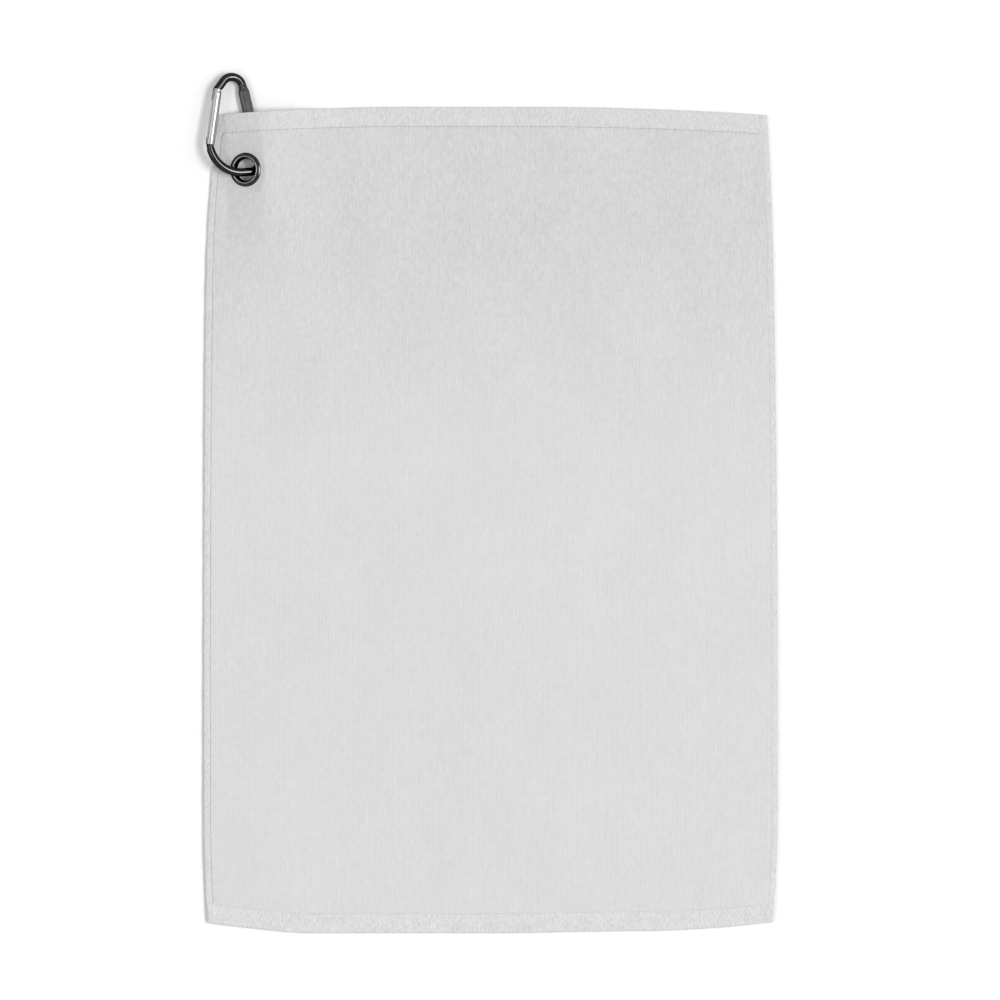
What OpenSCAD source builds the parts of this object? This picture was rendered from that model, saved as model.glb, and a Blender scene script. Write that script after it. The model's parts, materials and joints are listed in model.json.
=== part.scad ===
// Golf towel with a corner eyelet and a snap clip, lying flat and face up.
// +Z is up, +Y points to the hem with the eyelet, and the clip is at the top left corner.
// The origin is on the ground under the middle of the whole object.

/* [Towel] */
// Finished width of the towel
towel_w = 350; // [320:1:420]
// Finished length of the towel
towel_l = 503.5; // [450:0.5:600]
// Thickness of the ribbed velour cloth
cloth_t = 2.6; // [2:0.1:4]
// Thickness of the folded hems
hem_t = 2.2; // [1.6:0.1:3]
// Width of the top and bottom hems
end_hem_w = 12; // [8:0.5:16]
// Width of the two side hems
side_hem_w = 4; // [3:0.5:6]

/* [Stitching] */
// Width of a run of stitches
stitch_w = 0.8; // [0.5:0.1:1.2]
// Height of a run of stitches above its hem
stitch_t = 0.4; // [0.2:0.1:0.6]

/* [Eyelet] */
// Radius of the eyelet's clear hole
hole_r = 6.8; // [6.5:0.1:7]
// Radius of the eyelet's outer edge
eyelet_r = 10.4; // [10:0.1:11]
// Sheet thickness of the eyelet and its washer
eyelet_wall = 0.6; // [0.4:0.1:0.7]
// Height of the eyelet's rounded rim above the cloth
rim_h = 1.5; // [1.2:0.1:1.8]
// Thickness of the cloth where the eyelet clamps it
clamped_t = 1.8; // [1.4:0.1:2]
// Lean of the eyelet, with its right side up
eyelet_lean = 26; // [20:1:28]

/* [Clip] */
// Radius of the clip's round rod
rod_r = 2.5; // [2.3:0.05:2.6]
// Radius of the bend at the far end
far_r = 6.7; // [6.4:0.1:7]
// Length of the straight leg from the far bend to the gate's hinge
leg_l = 6.1; // [5.5:0.1:6.5]
// Radius of the wide bend beside the eyelet
wide_r = 18.9; // [18:0.1:19.5]
// Radius of the small bend in front of the spine
near_r = 6.4; // [6:0.1:7]
// Length of the straight spine
spine_l = 46; // [44:0.1:48]
// Width of the flattened part of the spine
flat_w = 6.9; // [6:0.1:7.2]
// Thickness of the flattened part of the spine
flat_t = 3.2; // [2.8:0.1:3.6]
// Roll of the clip about its spine, with the gate up
clip_roll = 16; // [14:1:18]

/* [Gate] */
// Outer radius of the gate's tube
gate_r = 2.75; // [2.6:0.05:2.9]
// Radius of the gate's bore
gate_bore_r = 1.75; // [1.6:0.05:1.9]
// Distance from the shoulder of the rod to the rivet
rivet_y = 3.1; // [3:0.05:3.4]
// Radius of the rivet
rivet_r = 0.8; // [0.7:0.05:0.9]

/* [Hidden] */
$fn = 64;

// Shape of the towel: the middle of its length, and where it lies in from a full rectangle
towel_y = -10.4;
half_w = towel_w / 2;
half_l = towel_l / 2;
slow_left = 3.6;
slow_right = 4.6;
corner_left = 5;
corner_right = 2;
bottom_side = 3;
top_droop_left = 4.6;
top_droop_right = 5;
bottom_lift_left = 6.3;
bottom_lift_right = 5.5;

// Place of the eyelet and the rise of the cloth over the spine
eyelet_x = -149.2;
eyelet_y = 203.1;
eyelet_z = 7;
lean_slope = tan(eyelet_lean);
under_eyelet_z = eyelet_z - clamped_t / 2 / cos(eyelet_lean);
crest_h = 12;
crest_from = 4;
crest_l = 58;
left_blend = 0.6;
right_blend = 0.8;
flat_zone = 11;
fade_l = 66;
far_rise = 0.92;
far_shift = 3.5;
far_zone = 27;

// Section of the eyelet, measured from the middle of the clamped cloth
barrel_r = hole_r + eyelet_wall;
cloth_top = clamped_t / 2;
washer_z = -clamped_t / 2 - eyelet_wall;
curl_r = 0.8;

// Place of the clip: the near end of its spine, and its turns
spine_x = -141.26;
spine_y = 209.62;
spine_z = 3.6;
clip_yaw = 12.8;
clip_pitch = -0.75;

// Outline of the clip: the middles of its three bends, in the plane of the clip
far_c = [-far_r, spine_l];
wide_c = [-9.6, 13.1];
near_c = [-near_r, 0];
far_end_angle = 130.2;
wide_from_angle = 174.4;
wide_end_angle = side_angle(wide_c, wide_r, near_c, near_r);
leg_from = on_bend(far_c, far_r, far_end_angle);
gate_from = leg_from + leg_l * [-sin(far_end_angle), cos(far_end_angle)];
gate_to = on_bend(wide_c, wide_r, wide_from_angle);
gate_span = gate_to - gate_from;
gate_turn = atan2(gate_span[0], -gate_span[1]);
gate_gap = 0.2;
gate_l = norm(gate_span) - gate_gap;
hinge_gap = 0.1;
neck_l = 2.3;
neck_r = 2.2;
neck_angle = neck_l / wide_r * 180 / PI;
join_l = 0.3;
join_in = 0.03;
join_angle = 2;
tongue_w = 3.2;
tongue_t = 1.9;
slot_t = 2.2;
running_gap = 0.05;
rivet_head_r = 1.3;
rivet_head_t = 0.45;
tongue_end = 3.2;
nose_l = 3.6;
nose_out = 1.6;
nose_in = 1.2;
flat_from = 4;
flat_to = spine_l;
flat_taper = 5;
spring_wire_r = 0.25;
spring_turns = 8;
plunger_l = 2.4;
spring_hole_l = 19;

// ---- Helpers ----

function smooth(t) =
    let (c = min(1, max(0, t)))
    c * c * (3 - 2 * c);

function higher(a, b, k) = (a + b + sqrt((a - b) * (a - b) + k * k)) / 2;

function lower(a, b, k) = (a + b - sqrt((a - b) * (a - b) + k * k)) / 2;

// Angle of the outward side of the belt that runs round two bends, counter-clockwise
function side_angle(c1, r1, c2, r2) =
    let (d = c2 - c1, a = atan2(d[1], d[0]) - 90 + asin((r1 - r2) / norm(d)))
    a < 0 ? a + 360 : a;

function on_bend(c, r, a) = c + r * [cos(a), sin(a)];

// ---- The lie of the cloth ----

// How far each edge lies in from the full rectangle, at u across and v along, both from -1 to 1
function left_in(v) =
    slow_left * pow(max(0, (v + 0.5) / 1.5), 3)
    + corner_left * pow(max(0, (v - 0.6) / 0.4), 2)
    + 0.7 * bottom_side * pow(max(0, (-v - 0.7) / 0.3), 2);

function right_in(v) =
    slow_right * pow(max(0, (v + 0.5) / 1.5), 2)
    + corner_right * pow(max(0, (v - 0.6) / 0.4), 2)
    + bottom_side * pow(max(0, (-v - 0.7) / 0.3), 2);

function top_in(u) =
    u < 0 ? top_droop_left * pow(max(0, (-u - 0.3) / 0.7), 2)
    : top_droop_right * pow(max(0, (u - 0.1) / 0.9), 2);

function bottom_in(u) =
    u < 0 ? bottom_lift_left * pow(max(0, (-u - 0.65) / 0.35), 1.3)
    : 1.2 * smooth(u / 0.5) + bottom_lift_right * pow(max(0, (u - 0.5) / 0.5), 2);

// Plan position of the cloth's point (u, v)
function cloth_x(u, v) = u * (half_w - (u < 0 ? left_in(v) : right_in(v)));

function cloth_y(u, v) = towel_y + v * (half_l - (v < 0 ? bottom_in(u) : top_in(u)));

// Height of the cloth's underside: flat, but lifted over the spine and leaning with the eyelet
function rise_across(p) =
    max(0, lower(
        higher(under_eyelet_z + lean_slope * p, 0, left_blend),
        crest_h * smooth(1 - (p - crest_from) / crest_l),
        right_blend
    ));

function rise_along(q) =
    q < 0 ? smooth(1 + (q + flat_zone) / fade_l)
    : 1 - (1 - far_rise) * smooth((q - flat_zone) / far_zone);

function underside(x, y) =
    let (p = x - eyelet_x, q = y - eyelet_y)
    rise_along(q) * rise_across(p + far_shift * smooth((q - flat_zone / 2) / (far_zone + 4)));

// The cloth's thickness, which is less where the eyelet clamps it
function thickness(x, y, t) =
    let (p = (x - eyelet_x) / cos(eyelet_lean), q = y - eyelet_y, r = sqrt(p * p + q * q))
    clamped_t + (t - clamped_t) * smooth((r - eyelet_r - 0.3) / 3);

// Grid lines of the cloth, in millimetres across and along, close together at the eyelet
fine_x = [for (x = [-half_w + side_hem_w + 3 : 3 : -78]) x];
wide_x = [for (x = [-56 : 28 : half_w - side_hem_w - 12]) x];
lines_x = concat(
    [-half_w, -half_w + side_hem_w], fine_x, wide_x, [half_w - side_hem_w, half_w]
);
low_y = [for (y = [-half_l + end_hem_w + 24 : 28 : 110]) y];
high_y = [for (y = [128 : 3 : half_l - end_hem_w - 2]) y];
lines_y = concat(
    [-half_l, -half_l + end_hem_w], low_y, high_y, [half_l - end_hem_w, half_l]
);
last_x = len(lines_x) - 1;
last_y = len(lines_y) - 1;

// A sheet of cloth between four grid lines, as one closed solid
module sheet(i0, i1, j0, j1, t) {
    cols = i1 - i0 + 1;
    rows = j1 - j0 + 1;
    plan = [
        for (j = [j0 : j1]) for (i = [i0 : i1])
            let (u = lines_x[i] / half_w, v = lines_y[j] / half_l)
            [cloth_x(u, v), cloth_y(u, v)]
    ];
    closed_sheet(
        cols, rows,
        [for (p = plan) [p[0], p[1], underside(p[0], p[1])]],
        [for (p = plan) [p[0], p[1], underside(p[0], p[1]) + thickness(p[0], p[1], t)]]
    );
}

// A closed solid between a lower and an upper grid of points with the same plan
module closed_sheet(cols, rows, below, above) {
    n = cols * rows;
    quads = [for (j = [0 : rows - 2]) for (i = [0 : cols - 2]) j * cols + i];
    rim = concat(
        [for (i = [0 : cols - 1]) i],
        [for (j = [1 : rows - 1]) j * cols + cols - 1],
        [for (i = [cols - 2 : -1 : 0]) (rows - 1) * cols + i],
        [for (j = [rows - 2 : -1 : 1]) j * cols]
    );
    polyhedron(
        points = concat(below, above),
        faces = concat(
            [for (q = quads) [q, q + 1, q + cols + 1]],
            [for (q = quads) [q, q + cols + 1, q + cols]],
            [for (q = quads) [n + q, n + q + cols + 1, n + q + 1]],
            [for (q = quads) [n + q, n + q + cols, n + q + cols + 1]],
            [for (k = [0 : len(rim) - 1])
                let (a = rim[k], b = rim[(k + 1) % len(rim)])
                [a, n + a, n + b]],
            [for (k = [0 : len(rim) - 1])
                let (a = rim[k], b = rim[(k + 1) % len(rim)])
                [a, n + b, b]]
        )
    );
}

// A run of stitches along a grid line: a thin strip on top of the cloth
module stitches_across(j, side, t) {
    plan = [
        for (s = [0, 1]) for (i = [1 : last_x - 1])
            let (u = lines_x[i] / half_w, v = (lines_y[j] + side + s * stitch_w) / half_l)
            [cloth_x(u, v), cloth_y(u, v)]
    ];
    stitch_strip(last_x - 1, 2, plan, t);
}

module stitches_along(i, side, t) {
    plan = [
        for (j = [1 : last_y - 1]) for (s = [0, 1])
            let (u = (lines_x[i] + side + s * stitch_w) / half_w, v = lines_y[j] / half_l)
            [cloth_x(u, v), cloth_y(u, v)]
    ];
    stitch_strip(2, last_y - 1, plan, t);
}

module stitch_strip(cols, rows, plan, t) {
    top = [for (p = plan) underside(p[0], p[1]) + t];
    closed_sheet(
        cols, rows,
        [for (k = [0 : len(plan) - 1]) [plan[k][0], plan[k][1], top[k] + 0.1]],
        [for (k = [0 : len(plan) - 1]) [plan[k][0], plan[k][1], top[k] + 0.1 + stitch_t]]
    );
}

// ---- Placing ----

module at_eyelet() {
    translate([eyelet_x, eyelet_y, eyelet_z]) rotate([0, -eyelet_lean, 0]) children();
}

module at_clip() {
    translate([spine_x, spine_y, spine_z]) rotate([clip_pitch, clip_roll, clip_yaw]) children();
}

// The gate's own frame in the clip's: origin at the rod's shoulder, +Y to its free end, +X inwards
module in_clip_at_gate() {
    translate([gate_from[0], gate_from[1], 0]) rotate([0, 0, gate_turn]) mirror([0, 1, 0])
        children();
}

module at_gate() {
    at_clip() in_clip_at_gate() children();
}

// ---- Towel ----

module towel_panel() {
    color("gainsboro") difference() {
        sheet(1, last_x - 1, 1, last_y - 1, cloth_t);
        at_eyelet() cylinder(r = barrel_r + 0.02, h = 4 * cloth_t, center = true);
    }
}

module top_hem() {
    color("whitesmoke") sheet(0, last_x, last_y - 1, last_y, hem_t);
}

module bottom_hem() {
    color("whitesmoke") sheet(0, last_x, 0, 1, hem_t);
}

module left_hem() {
    color("whitesmoke") sheet(0, 1, 1, last_y - 1, hem_t);
}

module right_hem() {
    color("whitesmoke") sheet(last_x - 1, last_x, 1, last_y - 1, hem_t);
}

module top_stitching() {
    color("silver") stitches_across(last_y - 1, 0.2, hem_t);
}

module bottom_stitching() {
    color("silver") stitches_across(1, -0.2 - stitch_w, hem_t);
}

module left_stitching() {
    color("silver") stitches_along(1, -0.2 - stitch_w, hem_t);
}

module right_stitching() {
    color("silver") stitches_along(last_x - 1, 0.2, hem_t);
}

// ---- Eyelet ----

// Section of a rounded rim of sheet metal, from the hole out to an edge
module half_ring(inner, outer, wall) {
    r = (outer - inner) / 2;
    difference() {
        translate([inner + r, 0]) circle(r = r);
        translate([inner + r, 0]) circle(r = r - wall);
        translate([inner - 1, -2 * r]) square([2 * r + 2, 2 * r]);
    }
}

// Section of the low arched rim: part of a larger ring, cut off at the cloth
module low_arch(inner, outer, h, wall) {
    half = (outer - inner) / 2;
    r = (half * half + h * h) / (2 * h);
    difference() {
        translate([inner + half, h - r]) circle(r = r);
        translate([inner + half, h - r]) circle(r = r - wall);
        translate([0, -2 * r]) square([outer + 2 * r, 2 * r]);
    }
}

module eyelet() {
    color("dimgray") at_eyelet() rotate_extrude() union() {
        translate([0, cloth_top]) low_arch(hole_r, eyelet_r, rim_h, eyelet_wall);
        translate([hole_r, washer_z]) square([eyelet_wall, cloth_top - washer_z + 0.1]);
        mirror([0, 1]) translate([0, -washer_z])
            half_ring(hole_r, hole_r + 2 * curl_r, eyelet_wall);
    }
}

module eyelet_washer() {
    color("dimgray") at_eyelet() translate([0, 0, washer_z + 0.01]) difference() {
        cylinder(r = eyelet_r - 0.1, h = eyelet_wall - 0.02);
        translate([0, 0, -1]) cylinder(r = barrel_r + 0.02, h = eyelet_wall + 2);
    }
}

// ---- Clip ----

// An arc of the rod round the middle of a bend
module bend(c, r, from, to, rod = rod_r) {
    translate([c[0], c[1], 0]) rotate([0, 0, from])
        rotate_extrude(angle = to - from) translate([r, 0]) circle(r = rod);
}

// A straight length of the rod between two points, reaching a little way into what it joins
module straight(a, b) {
    d = b - a;
    translate([a[0], a[1], 0]) rotate([0, 0, atan2(d[1], d[0])]) rotate([0, 90, 0])
        translate([0, 0, -join_l]) cylinder(r = rod_r - join_in, h = norm(d) + 2 * join_l);
}

// A block on either side of the gate's axis, from one distance along the gate to another
module gate_block(from, to) {
    translate([-2 * rod_r, from, -2 * rod_r]) cube([4 * rod_r, to - from, 4 * rod_r]);
}

// The pressed spine: a swollen rod between two flats, with tapering ends
module flat_spine() {
    wide = flat_w / 2;
    thin = flat_t / 2;
    intersection() {
        union() {
            translate([0, flat_from, 0]) rotate([-90, 0, 0])
                cylinder(r1 = rod_r, r2 = wide, h = flat_taper);
            translate([0, flat_from + flat_taper, 0]) rotate([-90, 0, 0])
                cylinder(r = wide, h = flat_to - flat_from - 2 * flat_taper);
            translate([0, flat_to - flat_taper, 0]) rotate([-90, 0, 0])
                cylinder(r1 = wide, r2 = rod_r, h = flat_taper);
        }
        translate([-flat_w, 0, 0]) rotate([90, 0, 90]) linear_extrude(height = 2 * flat_w)
            polygon([
                [flat_from - 1, rod_r + 0.5], [flat_from - 1, -rod_r - 0.5],
                [flat_from, -rod_r - 0.1], [flat_from + flat_taper, -thin],
                [flat_to - flat_taper, -thin], [flat_to, -rod_r - 0.1],
                [flat_to + 1, -rod_r - 0.5], [flat_to + 1, rod_r + 0.5],
                [flat_to, rod_r + 0.1], [flat_to - flat_taper, thin],
                [flat_from + flat_taper, thin], [flat_from, rod_r + 0.1]
            ]);
    }
}

module clip_body() {
    color([0.09, 0.09, 0.1]) at_clip() union() {
        // Hinge tongue in the gate's slot, with the rivet's hole
        in_clip_at_gate() difference() {
            translate([-tongue_w / 2, -1, -tongue_t / 2])
                cube([tongue_w, rivet_y + tongue_end + 1, tongue_t]);
            translate([0, rivet_y, -5]) cylinder(r = rivet_r + running_gap, h = 10);
        }
        bend(far_c, far_r, -join_angle, far_end_angle);
        // Straight leg, cut square to the gate
        difference() {
            straight(leg_from, gate_from + (gate_from - leg_from) / 3);
            in_clip_at_gate() gate_block(0, 2 * rod_r);
        }
        flat_spine();
        straight([0, 0], [0, flat_from]);
        bend(near_c, near_r, wide_end_angle, 360);
        straight(on_bend(wide_c, wide_r, wide_end_angle), on_bend(near_c, near_r, wide_end_angle));
        bend(wide_c, wide_r, wide_from_angle + neck_angle, wide_end_angle);
        // Neck beside the gate's free end, cut square to the gate
        difference() {
            bend(
                wide_c, wide_r, wide_from_angle - join_angle,
                wide_from_angle + neck_angle + join_angle, neck_r
            );
            in_clip_at_gate() gate_block(gate_l + gate_gap - 2 * rod_r, gate_l + gate_gap);
        }
        // Nose tongue in the gate's free end
        in_clip_at_gate() translate([-nose_out, gate_l + gate_gap - nose_l, -tongue_t / 2])
            cube([nose_out + nose_in, nose_l + 0.5, tongue_t]);
    }
}

module clip_gate() {
    slot_l = rivet_y + tongue_end + 1.2;
    color("silver") at_gate() difference() {
        // Tube with its hinge end square on the outside and round on the inside
        intersection() {
            translate([0, hinge_gap, 0]) rotate([-90, 0, 0])
                cylinder(r = gate_r, h = gate_l - hinge_gap);
            union() {
                translate([-5, 0, -5]) cube([5.3, gate_l + 1, 10]);
                translate([0, rivet_y, -5]) cylinder(r = rivet_y - 2 * hinge_gap, h = 10);
                translate([0, rivet_y, -5]) cube([5, gate_l + 1, 10]);
            }
        }
        // Slot over the hinge tongue
        translate([-5, -1, -slot_t / 2]) cube([10, slot_l + 1, slot_t]);
        // Bore for the plunger and spring
        translate([0, rivet_y + 1, 0]) rotate([-90, 0, 0]) cylinder(r = gate_bore_r, h = spring_hole_l);
        // Socket for the nose, open to the outside of the clip
        translate([0, gate_l - nose_l - 0.6, 0]) rotate([-90, 0, 0])
            cylinder(r = gate_bore_r, h = nose_l + 2);
        translate([-5, gate_l - nose_l - 0.6, -slot_t / 2]) cube([5, nose_l + 2, slot_t]);
        // Rivet hole and the seats of its heads
        translate([0, rivet_y, -5]) cylinder(r = rivet_r + 0.01, h = 10);
        for (side = [-1, 1])
            translate([0, rivet_y, side * (gate_r + 2 - rivet_head_t)])
                cylinder(r = rivet_head_r + 0.02, h = 4, center = true);
    }
}

module gate_rivet() {
    color("gray") at_gate() translate([0, rivet_y, 0]) union() {
        cylinder(r = rivet_r, h = 2 * gate_r - 0.1, center = true);
        for (side = [-1, 1])
            translate([0, 0, side * (gate_r - rivet_head_t / 2 + 0.05)])
                cylinder(r = rivet_head_r, h = rivet_head_t, center = true);
    }
}

plunger_y = rivet_y + tongue_end + 0.1;
spring_y = plunger_y + plunger_l + spring_wire_r + 0.05;
spring_l = rivet_y + 1 + spring_hole_l - spring_y - spring_wire_r - 0.05;

module gate_plunger() {
    color("gray") at_gate() translate([0, plunger_y, 0]) rotate([-90, 0, 0])
        cylinder(r = gate_bore_r - running_gap, h = plunger_l);
}

// The spring: a coil swept along a helix with a six-sided section
module gate_spring() {
    sides = 6;
    rings = spring_turns * 12;
    coil_r = gate_bore_r - spring_wire_r - 0.15;
    points = [
        for (k = [0 : rings]) for (s = [0 : sides - 1])
            let (
                a = 360 * spring_turns * k / rings,
                w = 360 * s / sides,
                r = coil_r + spring_wire_r * cos(w)
            )
            [r * cos(a), r * sin(a), spring_l * k / rings + spring_wire_r * sin(w)]
    ];
    color("gray") at_gate() translate([0, spring_y, 0]) rotate([-90, 0, 0])
        polyhedron(
            points = points,
            faces = concat(
                [[for (s = [0 : sides - 1]) s]],
                [[for (s = [sides - 1 : -1 : 0]) rings * sides + s]],
                [for (k = [0 : rings - 1]) for (s = [0 : sides - 1])
                    let (a = k * sides + s, b = k * sides + (s + 1) % sides)
                    [a, a + sides, b + sides]],
                [for (k = [0 : rings - 1]) for (s = [0 : sides - 1])
                    let (a = k * sides + s, b = k * sides + (s + 1) % sides)
                    [a, b + sides, b]]
            )
        );
}

towel_panel();
top_hem();
bottom_hem();
left_hem();
right_hem();
top_stitching();
bottom_stitching();
left_stitching();
right_stitching();
eyelet();
eyelet_washer();
clip_body();
clip_gate();
gate_rivet();
gate_spring();
gate_plunger();
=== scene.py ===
"""Looks of the golf towel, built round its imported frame.

Sizes are in millimetres, and each mesh is scaled to metres when it is made.
"""

import json
import math

import bmesh
import bpy
import numpy as np
from mathutils import Matrix, Vector

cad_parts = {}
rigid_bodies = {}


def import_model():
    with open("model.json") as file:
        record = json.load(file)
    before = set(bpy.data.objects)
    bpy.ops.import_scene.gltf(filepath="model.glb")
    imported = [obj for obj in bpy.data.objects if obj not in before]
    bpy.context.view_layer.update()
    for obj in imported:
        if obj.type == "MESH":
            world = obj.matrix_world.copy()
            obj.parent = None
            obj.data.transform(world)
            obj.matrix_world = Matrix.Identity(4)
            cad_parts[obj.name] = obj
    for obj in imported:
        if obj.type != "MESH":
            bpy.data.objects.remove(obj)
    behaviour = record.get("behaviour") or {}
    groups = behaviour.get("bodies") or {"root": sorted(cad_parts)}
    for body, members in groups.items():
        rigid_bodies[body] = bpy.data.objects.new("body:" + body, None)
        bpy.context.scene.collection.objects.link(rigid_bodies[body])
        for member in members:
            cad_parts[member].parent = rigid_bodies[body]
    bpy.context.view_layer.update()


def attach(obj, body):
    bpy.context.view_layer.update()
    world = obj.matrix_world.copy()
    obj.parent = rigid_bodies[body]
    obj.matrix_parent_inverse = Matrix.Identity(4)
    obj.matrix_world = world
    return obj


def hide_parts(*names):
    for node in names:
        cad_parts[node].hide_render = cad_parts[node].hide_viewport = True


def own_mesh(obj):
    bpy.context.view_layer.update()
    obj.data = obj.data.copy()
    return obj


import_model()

MM = 0.001
draws = np.random.default_rng(11)

# ---- The towel, as the part's source has it ----

HALF_W = 175.0
HALF_L = 251.75
TOWEL_Y = -10.4
CLOTH_T = 2.6
HEM_T = 2.2
END_HEM = 12.0
SIDE_HEM = 4.0
PANEL_W = HALF_W - SIDE_HEM
PANEL_L = HALF_L - END_HEM

EYELET = (-149.2, 203.1, 7.0)
EYELET_R = 10.4
HOLE_R = 6.8
WALL = 0.6
RIM_H = 1.5
CREST_R = 8.15
CLAMPED_T = 1.8
LEAN = math.radians(26)
UNDER_EYELET = EYELET[2] - CLAMPED_T / 2 / math.cos(LEAN)

# How far each edge lies in from the full rectangle
SLOW_LEFT = 3.6
SLOW_RIGHT = 4.6
CORNER_LEFT = 5.0
CORNER_RIGHT = 2.0
BOTTOM_LEFT = 2.1
BOTTOM_RIGHT = 3.0
TOP_DROOP_LEFT = 4.6
TOP_DROOP_RIGHT = 5.0
BOTTOM_LIFT_LEFT = 6.3
BOTTOM_LIFT_RIGHT = 5.5

# The rise of the cloth over the clip's spine
RISE_H = 12.0
RISE_FROM = 4.0
RISE_L = 58.0
FLAT_ZONE = 11.0
FADE_L = 66.0
FAR_DROP = 0.08
FAR_SHIFT = 3.5
FAR_ZONE = 27.0


def smooth(t):
    """An eased step from 0 at t = 0 to 1 at t = 1."""
    c = np.clip(t, 0, 1)
    return c * c * (3 - 2 * c)


def higher(a, b, k):
    """The higher of two heights, rounded over a width k where they cross."""
    return (a + b + np.sqrt((a - b) ** 2 + k * k)) / 2


def lower(a, b, k):
    """The lower of two heights, rounded over a width k where they cross."""
    return (a + b - np.sqrt((a - b) ** 2 + k * k)) / 2


def above(t):
    return np.maximum(0, t)


def plan(s, t):
    """Where the cloth's flat point (s, t) lies on the ground, measured from the towel's middle.

    The long edges draw in towards their ends, and the short edges bow.
    """
    u, v = s / HALF_W, t / HALF_L
    slow = above((v + 0.5) / 1.5)
    corner = above((v - 0.6) / 0.4)
    low_corner = above((-v - 0.7) / 0.3)
    left = SLOW_LEFT * slow**3 + CORNER_LEFT * corner**2 + BOTTOM_LEFT * low_corner**2
    right = SLOW_RIGHT * slow**2 + CORNER_RIGHT * corner**2 + BOTTOM_RIGHT * low_corner**2
    top = np.where(
        u < 0,
        TOP_DROOP_LEFT * above((-u - 0.3) / 0.7) ** 2,
        TOP_DROOP_RIGHT * above((u - 0.1) / 0.9) ** 2,
    )
    bottom = np.where(
        u < 0,
        BOTTOM_LIFT_LEFT * above((-u - 0.65) / 0.35) ** 1.3,
        1.2 * smooth(u / 0.5) + BOTTOM_LIFT_RIGHT * above((u - 0.5) / 0.5) ** 2,
    )
    x = u * (HALF_W - np.where(u < 0, left, right))
    y = TOWEL_Y + v * (HALF_L - np.where(v < 0, bottom, top))
    return x, y


def underside(x, y):
    """Height of the cloth's underside: flat, but lifted over the clip's spine."""
    p, q = x - EYELET[0], y - EYELET[1]
    shifted = p + FAR_SHIFT * smooth((q - FLAT_ZONE / 2) / (FAR_ZONE + 4))
    slope = higher(UNDER_EYELET + math.tan(LEAN) * shifted, 0, 0.6)
    soft = 0.8 + 3.2 * smooth((from_eyelet(x, y) - 13) / 25)
    ridge = RISE_H * smooth(1 - (shifted - RISE_FROM) / RISE_L)
    near = smooth(1 + (q + FLAT_ZONE) / FADE_L)
    far = 1 - FAR_DROP * smooth((q - FLAT_ZONE) / FAR_ZONE)
    return np.where(q < 0, near, far) * above(lower(slope, ridge, soft))


def from_eyelet(x, y):
    """Distance from the eyelet's middle, along the leaning cloth."""
    return np.hypot((x - EYELET[0]) / math.cos(LEAN), y - EYELET[1])


def unclamped(x, y):
    """0 where the eyelet clamps the cloth, and 1 from a little way outside it."""
    return smooth((from_eyelet(x, y) - EYELET_R - 0.3) / 3)


# ---- Mesh helpers ----


def piece(name, points, faces, body, materials, nodes=(), sharp=40, matrix=None):
    """A mesh piece of the object from points in millimetres, riding on a body of the frame."""
    mesh = bpy.data.meshes.new(name)
    corners = (np.asarray(points, float) * MM).tolist()
    mesh.from_pydata(corners, [], [list(map(int, f)) for f in faces])
    shape = bmesh.new()
    shape.from_mesh(mesh)
    bmesh.ops.recalc_face_normals(shape, faces=shape.faces)
    shape.to_mesh(mesh)
    shape.free()
    obj = bpy.data.objects.new(name, mesh)
    bpy.context.scene.collection.objects.link(obj)
    return finished(obj, body, materials, nodes, sharp, matrix)


def finished(obj, body, materials, nodes=(), sharp=40, matrix=None):
    """Shades an object, gives it its materials and place, and fastens it to its body."""
    obj.data.shade_smooth()
    obj.data.set_sharp_from_angle(angle=math.radians(sharp))
    for m in materials:
        obj.data.materials.append(m)
    if matrix is not None:
        obj.matrix_world = matrix
    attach(obj, body)
    if nodes:
        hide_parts(*nodes)
    return obj


def loops(rings, closed=False):
    """Points and faces of a skin over rings that each have the same number of points."""
    rings = np.asarray(rings, float)
    count, around = rings.shape[:2]
    faces = []
    for i in range(count if closed else count - 1):
        a, b = i * around, ((i + 1) % count) * around
        for j in range(around):
            k = (j + 1) % around
            faces.append((a + j, a + k, b + k, b + j))
    if not closed:
        faces.append(range(around))
        faces.append(range((count - 1) * around, count * around))
    return rings.reshape(-1, 3), faces


def lathe(profile, steps=96, axis="Z"):
    """Rings of a closed profile of (radius, height) turned about an axis."""
    profile = np.asarray(profile, float)
    rings = []
    for angle in np.linspace(0, 2 * math.pi, steps, endpoint=False):
        x = profile[:, 0] * math.cos(angle)
        y = profile[:, 0] * math.sin(angle)
        z = profile[:, 1]
        rings.append(np.stack([x, y, z] if axis == "Z" else [x, z, -y], axis=1))
    return loops(rings, closed=True)


def cut(obj, tool, operation="DIFFERENCE"):
    """Cuts a tool's mesh out of an object, or keeps what they share, and removes the tool."""
    change = obj.modifiers.new("cut", "BOOLEAN")
    change.operation = operation
    change.solver = "EXACT"
    change.object = tool
    bpy.context.view_layer.update()
    made = bpy.data.meshes.new_from_object(obj.evaluated_get(bpy.context.evaluated_depsgraph_get()))
    obj.modifiers.clear()
    obj.data = made
    bpy.data.objects.remove(tool)


def bevel(obj, width, angle=35, segments=3):
    """Rounds an object's sharp edges for good, and welds the points that fall together."""
    together = 0.002 * MM
    change = obj.modifiers.new("bevel", "BEVEL")
    change.width = width * MM
    change.segments = segments
    change.limit_method = "ANGLE"
    change.angle_limit = math.radians(angle)
    bpy.context.view_layer.update()
    made = bpy.data.meshes.new_from_object(obj.evaluated_get(bpy.context.evaluated_depsgraph_get()))
    weld = bmesh.new()
    weld.from_mesh(made)
    bmesh.ops.remove_doubles(weld, verts=weld.verts, dist=together)
    weld.to_mesh(made)
    weld.free()
    obj.modifiers.clear()
    obj.data = made


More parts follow.
